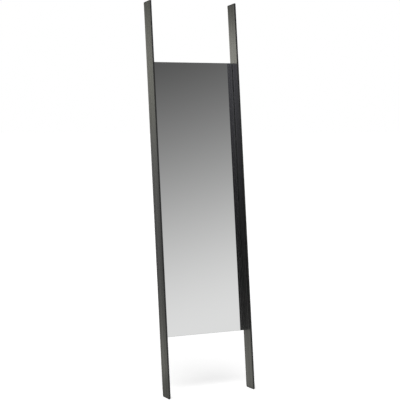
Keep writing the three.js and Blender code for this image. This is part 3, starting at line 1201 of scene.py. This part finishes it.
@dataclass(frozen=True)
class Floor:
    """A plain pale floor that keeps the object's shadow."""

    radius: float = 60.0
    sides: int = 96
    gap: float = 0.0002
    pale: Colour = colour(0.93, 0.93, 0.93)
    lift_ends: Pair = (1.0, 4.0)
    lifts: Pair = (0.37, 0.6)
    near_ends: Pair = (1.2, 4.0)
    near_tones: Pair = (0.68, 0.47)
    far_ends: Pair = (6.0, 40.0)
    far_gain: float = 0.51
    pool: float = 0.47
    pool_rim: Pair = (0.7, 1.4)
    pool_middle: Pair = (-0.17, 0.62)
    pool_half: Pair = (0.3, 0.85)
    pool_turn: float = math.radians(28.0)
    shade: float = 0.15
    shade_rim: Pair = (0.4, 1.2)
    shade_middle: Pair = (-0.35, 0.1)
    shade_half: Pair = (0.35, 0.35)
    front_border: Pair = (-3.0, -1.2)
    front_ends: Pair = (2.0, 14.0)
    front_tones: Pair = (0.56, 0.76)
    tint_ends: Pair = (1.5, 5.0)
    near_tint: Colour = colour(1.0, 1.0, 0.91)
    far_tint: Colour = colour(1.0, 1.0, 0.98)

    def build(self) -> None:
        """Makes the floor disc, a hair below the part's lowest face."""
        angle, low = turns(self.sides), np.full(self.sides, -self.gap)
        rim = np.stack([self.radius * np.cos(angle), self.radius * np.sin(angle), low], axis=-1)
        staged("floor", rim, self.material())

    def material(self) -> Material:
        """Matt and pale, lifted to the camera, and graded by place to shiny faces.

        Near the object the lift is less, so that its shadow shows.

        Returns:
            The floor's material.
        """
        material, graph = new_material("pale_floor")
        lift = graph.mapped(graph.length(graph.place()), self.lift_ends, self.lifts, Ramp.SOFT)
        strength = graph.times(graph.node("LightPath").outputs["Is Camera Ray"], lift)
        matt = graph.node("BsdfDiffuse", {"Color": self.pale})
        lifted = graph.node("Emission", {"Color": self.pale, "Strength": strength})
        seen = graph.node("AddShader", {0: matt.outputs[0], 1: lifted.outputs[0]})
        # To shiny faces the floor is an emission graded by place, with painted light and painted shadow.
        tint, tone = self.shown(graph)
        shown = graph.node("Emission", {"Color": tint, "Strength": tone})
        both = graph.node("MixShader", {0: graph.shiny(), 1: seen.outputs[0], 2: shown.outputs[0]})
        graph.node("OutputMaterial", {"Surface": both.outputs[0]})
        return material

    def shown(self, graph: Graph) -> tuple[Socket, Socket]:
        """The floor in reflections: mid grey some metres off, paler far away and near the object.

        A painted pool of light, an emitted oval, lies behind the mirror, and a painted shadow darkens
        the floor round the feet. In front the floor runs on into the tone of the horizon.

        Args:
            graph: the material's graph.

        Returns:
            The tint and the radiance by place on the floor.
        """
        place = graph.place()
        away = graph.length(place)
        _, y, _ = graph.split(place)
        near = graph.mapped(away, self.near_ends, self.near_tones, Ramp.SOFT)
        far = graph.mapped(away, self.far_ends, (0.0, self.far_gain))
        # Painted light: an emitted oval pool of light behind the mirror, seen only in reflections.
        in_painted_pool = self.oval(graph, place, self.pool_middle, self.pool_half, self.pool_turn)
        pool = graph.mapped(in_painted_pool, self.pool_rim, (self.pool, 0.0), Ramp.SOFT)
        # Painted shadow: a darker oval of emission round the feet, seen only in reflections.
        in_painted_shadow = self.oval(graph, place, self.shade_middle, self.shade_half)
        shade = graph.mapped(in_painted_shadow, self.shade_rim, (self.shade, 0.0), Ramp.SOFT)
        painted_floor_light = graph.math("SUBTRACT", graph.math("ADD", near, pool), shade)
        in_front = graph.mapped(y, self.front_border, (1.0, 0.0), Ramp.SOFT)
        plain = graph.mapped(away, self.front_ends, self.front_tones)
        neutral = graph.math("MAXIMUM", in_front, graph.mapped(away, self.tint_ends))
        tint = graph.blended(neutral, self.near_tint, self.far_tint)
        return tint, graph.mixed(in_front, graph.math("ADD", painted_floor_light, far), plain)

    @staticmethod
    def oval(graph: Graph, place: Socket, middle: Pair, half: Pair, turn: float = 0.0) -> Socket:
        """How far out a place lies in an oval turned to the left: 0 in its middle and 1 on its rim."""
        inputs = {"Vector": place, "Location": (*middle, 0.0), "Rotation": (0.0, 0.0, turn),
                  "Scale": (*half, 1.0)}
        return graph.length(graph.node("Mapping", inputs, vector_type="TEXTURE").outputs[0])


@dataclass(frozen=True)
class ReflectorCard:
    """A soft upright card behind the mirror, seen only by shiny faces, that fades out at its edges."""

    middle: Pair = (-0.31, 1.09)
    half: float = 0.22
    top: float = 2.15
    low_ends: Pair = (1.2, 1.9)
    high_ends: Pair = (1.74, 2.055)
    side_share: float = 0.5
    glow: float = 3.3
    tint: Colour = colour(1.0, 1.0, 0.89)

    def build(self) -> None:
        """Makes the card across the way that the right bar's inner face mirrors."""
        x, y = self.middle
        left, right = x - self.half, x + self.half
        corners = np.array([[left, y, 0.0], [right, y, 0.0], [right, y, self.top], [left, y, self.top]])
        card = staged("reflector_card", corners, self.material())
        card.visible_camera = False
        card.visible_diffuse = False
        card.visible_shadow = False

    def material(self) -> Material:
        """Glows evenly between two heights, fades beyond them, and lets through what it does not cover.

        Returns:
            The card's material.
        """
        material, graph = new_material("reflector_card")
        x, _, z = graph.split(graph.place())
        high = graph.mapped(z, self.high_ends, (1.0, 0.0), Ramp.SOFT)
        low = graph.mapped(z, self.low_ends, ramp=Ramp.SOFT)
        aside = graph.math("ABSOLUTE", graph.math("SUBTRACT", x, self.middle[0]))
        sides = graph.mapped(aside, (self.half * self.side_share, self.half), (1.0, 0.0), Ramp.SOFT)
        cover = graph.times(high, sides, low)
        clear = graph.node("BsdfTransparent")
        glow = graph.node("Emission", {"Color": self.tint, "Strength": self.glow})
        both = graph.node("MixShader", {0: cover, 1: clear.outputs[0], 2: glow.outputs[0]})
        graph.node("OutputMaterial", {"Surface": both.outputs[0]})
        return material


@dataclass(frozen=True)
class SoftLamp:
    """A large soft lamp overhead, which lights but isn't mirrored."""

    place: Triple = (-0.6, -1.0, 3.2)
    aim: Triple = (0.0, 0.0, 1.2)
    width: float = 2.0
    watts: float = 60.0

    def build(self) -> None:
        """Makes the lamp, turned so that it faces its aim."""
        data = bpy.data.lights.new("overhead", "AREA")
        data.shape = "SQUARE"
        data.size = self.width
        data.energy = self.watts
        lamp = linked("overhead", data)
        away = np.array(self.place) - np.array(self.aim)
        back = away / np.linalg.norm(away)
        lamp.location = self.place
        lamp.rotation_euler = (math.acos(back[2]), 0.0, math.atan2(back[0], -back[1]))
        lamp.visible_camera = False
        lamp.visible_glossy = False


def write_sizes() -> None:
    """Brings the view layer up to date."""
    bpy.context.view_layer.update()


def main() -> None:
    """Builds the studio and every sub-assembly in order."""
    logging.basicConfig(level=logging.INFO, format="%(name)s %(message)s")
    bpy.context.scene.view_settings.view_transform = "Standard"
    for item in (StudioCamera, Surroundings, Floor, ReflectorCard, SoftLamp):
        item().build()
    wardrobe = Wardrobe()
    for assembly in (SteelAndGlass, ButtonScrews, CountersunkScrews, FloorPads):
        assembly(wardrobe).build()
    write_sizes()


if __name__ == "__main__":
    main()
